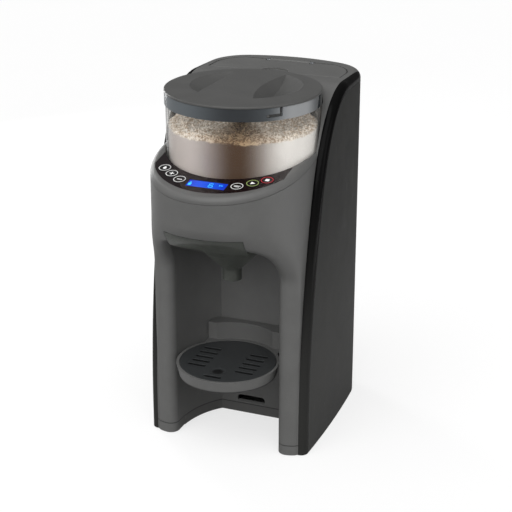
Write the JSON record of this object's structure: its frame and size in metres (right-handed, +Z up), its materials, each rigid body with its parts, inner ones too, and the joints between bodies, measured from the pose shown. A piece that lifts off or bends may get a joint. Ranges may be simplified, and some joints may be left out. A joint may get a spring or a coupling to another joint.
{
  "type": "baby formula maker",
  "caption": "Countertop baby formula maker: clear powder hopper with lid, key console, funnel over an arched bottle bay with drip tray, water tank at the back.",
  "frame": {"origin": "middle of the footprint, on the worktop under the feet", "axes": "+Z up, -Y towards the front (the console and the bottle bay), +X to the right as seen from the front"},
  "size_m": [0.188, 0.293, 0.3937],
  "materials": {
    "body_grey": "fine satin texture",
    "side_grey": "fine matt texture",
    "edge_black": "polished",
    "console_black": "polished",
    "key_face": "polished with a metallised ring",
    "display_blue": "lit",
    "liner_grey": "satin",
    "tray_grey": "satin",
    "grate_black": "satin",
    "clear_plastic": "clear",
    "smoke_plastic": "smoky",
    "collar_blue_grey": "satin",
    "formula_powder": "granular",
    "seal_rubber": "soft",
    "foot_rubber": "matt",
    "hose_rubber": "milky",
    "gear_white": "moulded",
    "frame_black": "moulded",
    "steel": "brushed",
    "board_green": "varnished"
  },
  "bodies": {
    "housing": {"base_plate": "body_grey", "bay_liner": "liner_grey", "front_shell": "body_grey", "hood": "body_grey", "hopper_seat": "body_grey", "rear_cover": "body_grey", "side_trim_right": "edge_black", "side_trim_left": "edge_black", "side_panel_right": "side_grey", "side_panel_left": "side_grey", "console_panel": "console_black", "lcd_display": "display_blue", "key_board": "board_green", "gearbox_case": "frame_black", "gearbox_cover": "frame_black", "idler_pin": "steel", "drive_motor": "steel", "chassis": "frame_black", "water_pump": "frame_black", "water_heater": "steel", "tank_socket": "frame_black", "suction_hose": "hose_rubber", "pump_hose": "hose_rubber", "hot_hose": "hose_rubber", "water_nozzle": "gear_white", "main_board": "board_green", "power_inlet": "frame_black", "feet": "foot_rubber", "base_screws": "steel"},
    "hopper": {"hopper_container": "clear_plastic", "hopper_collar": "collar_blue_grey", "powder": "formula_powder"},
    "lid": {"hopper_lid": "body_grey", "lid_seal": "seal_rubber"},
    "rotor": {"dosing_wheel": "gear_white", "stirrer": "gear_white"},
    "drive": {"drive_gear": "gear_white", "drive_dog": "steel"},
    "idler": {"idler_gear": "gear_white"},
    "motor_rotor": {"motor_pinion": "gear_white"},
    "funnel_drawer": {"funnel": "smoke_plastic", "funnel_cover": "smoke_plastic"},
    "tray": {"tray_body": "tray_grey"},
    "grate": {"tray_grate": "grate_black"},
    "tank": {"water_tank": "clear_plastic", "tank_hinge_pin": "steel", "tank_seal": "seal_rubber", "valve_spring": "steel"},
    "tank_cover": {"tank_lid": "body_grey"},
    "valve": {"tank_valve": "gear_white"},
    "key_left_1": {"key_left_1": "key_face"},
    "key_left_2": {"key_left_2": "key_face"},
    "key_left_3": {"key_left_3": "key_face"},
    "key_right_1": {"key_right_1": "key_face"},
    "key_right_2": {"key_right_2": "key_face"},
    "key_right_3": {"key_right_3": "key_face"}
  },
  "joints": [
    {"name": "hopper_lift", "type": "slide", "parent": "housing", "child": "hopper", "axis": [0, 0, 1], "range_m": [0, 0.1]},
    {"name": "lid_twist", "type": "hinge", "parent": "hopper", "child": "lid", "pos_m": [0, -0.0232, 0.383], "axis": [0, 0, 1], "range_deg": [0, 8.5]},
    {"name": "dosing_spin", "type": "hinge", "parent": "hopper", "child": "rotor", "pos_m": [0, -0.0232, 0.305], "axis": [0, 0, 1], "continuous": true},
    {"name": "drive_spin", "type": "hinge", "parent": "housing", "child": "drive", "pos_m": [0, -0.0232, 0.281], "axis": [0, 0, 1], "continuous": true},
    {"name": "idler_spin", "type": "hinge", "parent": "housing", "child": "idler", "pos_m": [0, 0.0008, 0.277], "axis": [0, 0, 1], "continuous": true},
    {"name": "motor_spin", "type": "hinge", "parent": "housing", "child": "motor_rotor", "pos_m": [0, 0.0248, 0.274], "axis": [0, 0, 1], "continuous": true},
    {"name": "funnel_pull", "type": "slide", "parent": "housing", "child": "funnel_drawer", "axis": [0, -1, 0], "range_m": [0, 0.12]},
    {"name": "tray_pull", "type": "slide", "parent": "housing", "child": "tray", "axis": [0, -1, 0], "range_m": [0, 0.08]},
    {"name": "grate_lift", "type": "slide", "parent": "tray", "child": "grate", "axis": [0, 0, 1], "range_m": [0, 0.02]},
    {"name": "tank_lift", "type": "slide", "parent": "housing", "child": "tank", "axis": [0, 0, 1], "range_m": [0, 0.25]},
    {"name": "tank_lid_hinge", "type": "hinge", "parent": "tank", "child": "tank_cover", "pos_m": [0, 0.1184, 0.3904], "axis": [-1, 0, 0], "range_deg": [0, 95]},
    {"name": "valve_lift", "type": "slide", "parent": "tank", "child": "valve", "axis": [0, 0, 1], "range_m": [0, 0.004], "stiffness_N_per_m": 250, "springref_m": -0.002, "deforming": ["valve_spring"]},
    {"name": "key_left_1_press", "type": "slide", "parent": "housing", "child": "key_left_1", "axis": [0, 0.1961, -0.9806], "range_m": [0, 0.0006], "stiffness_N_per_m": 900, "springref_m": -0.0004},
    {"name": "key_left_2_press", "type": "slide", "parent": "housing", "child": "key_left_2", "axis": [0, 0.1961, -0.9806], "range_m": [0, 0.0006], "stiffness_N_per_m": 900, "springref_m": -0.0004},
    {"name": "key_left_3_press", "type": "slide", "parent": "housing", "child": "key_left_3", "axis": [0, 0.1961, -0.9806], "range_m": [0, 0.0006], "stiffness_N_per_m": 900, "springref_m": -0.0004},
    {"name": "key_right_1_press", "type": "slide", "parent": "housing", "child": "key_right_1", "axis": [0, 0.1961, -0.9806], "range_m": [0, 0.0006], "stiffness_N_per_m": 900, "springref_m": -0.0004},
    {"name": "key_right_2_press", "type": "slide", "parent": "housing", "child": "key_right_2", "axis": [0, 0.1961, -0.9806], "range_m": [0, 0.0006], "stiffness_N_per_m": 900, "springref_m": -0.0004},
    {"name": "key_right_3_press", "type": "slide", "parent": "housing", "child": "key_right_3", "axis": [0, 0.1961, -0.9806], "range_m": [0, 0.0006], "stiffness_N_per_m": 900, "springref_m": -0.0004}
  ],
  "couplings": [
    {"joint": "drive_spin", "follows": "dosing_spin", "ratio": 1},
    {"joint": "idler_spin", "follows": "dosing_spin", "ratio": -3},
    {"joint": "motor_spin", "follows": "dosing_spin", "ratio": 9}
  ]
}
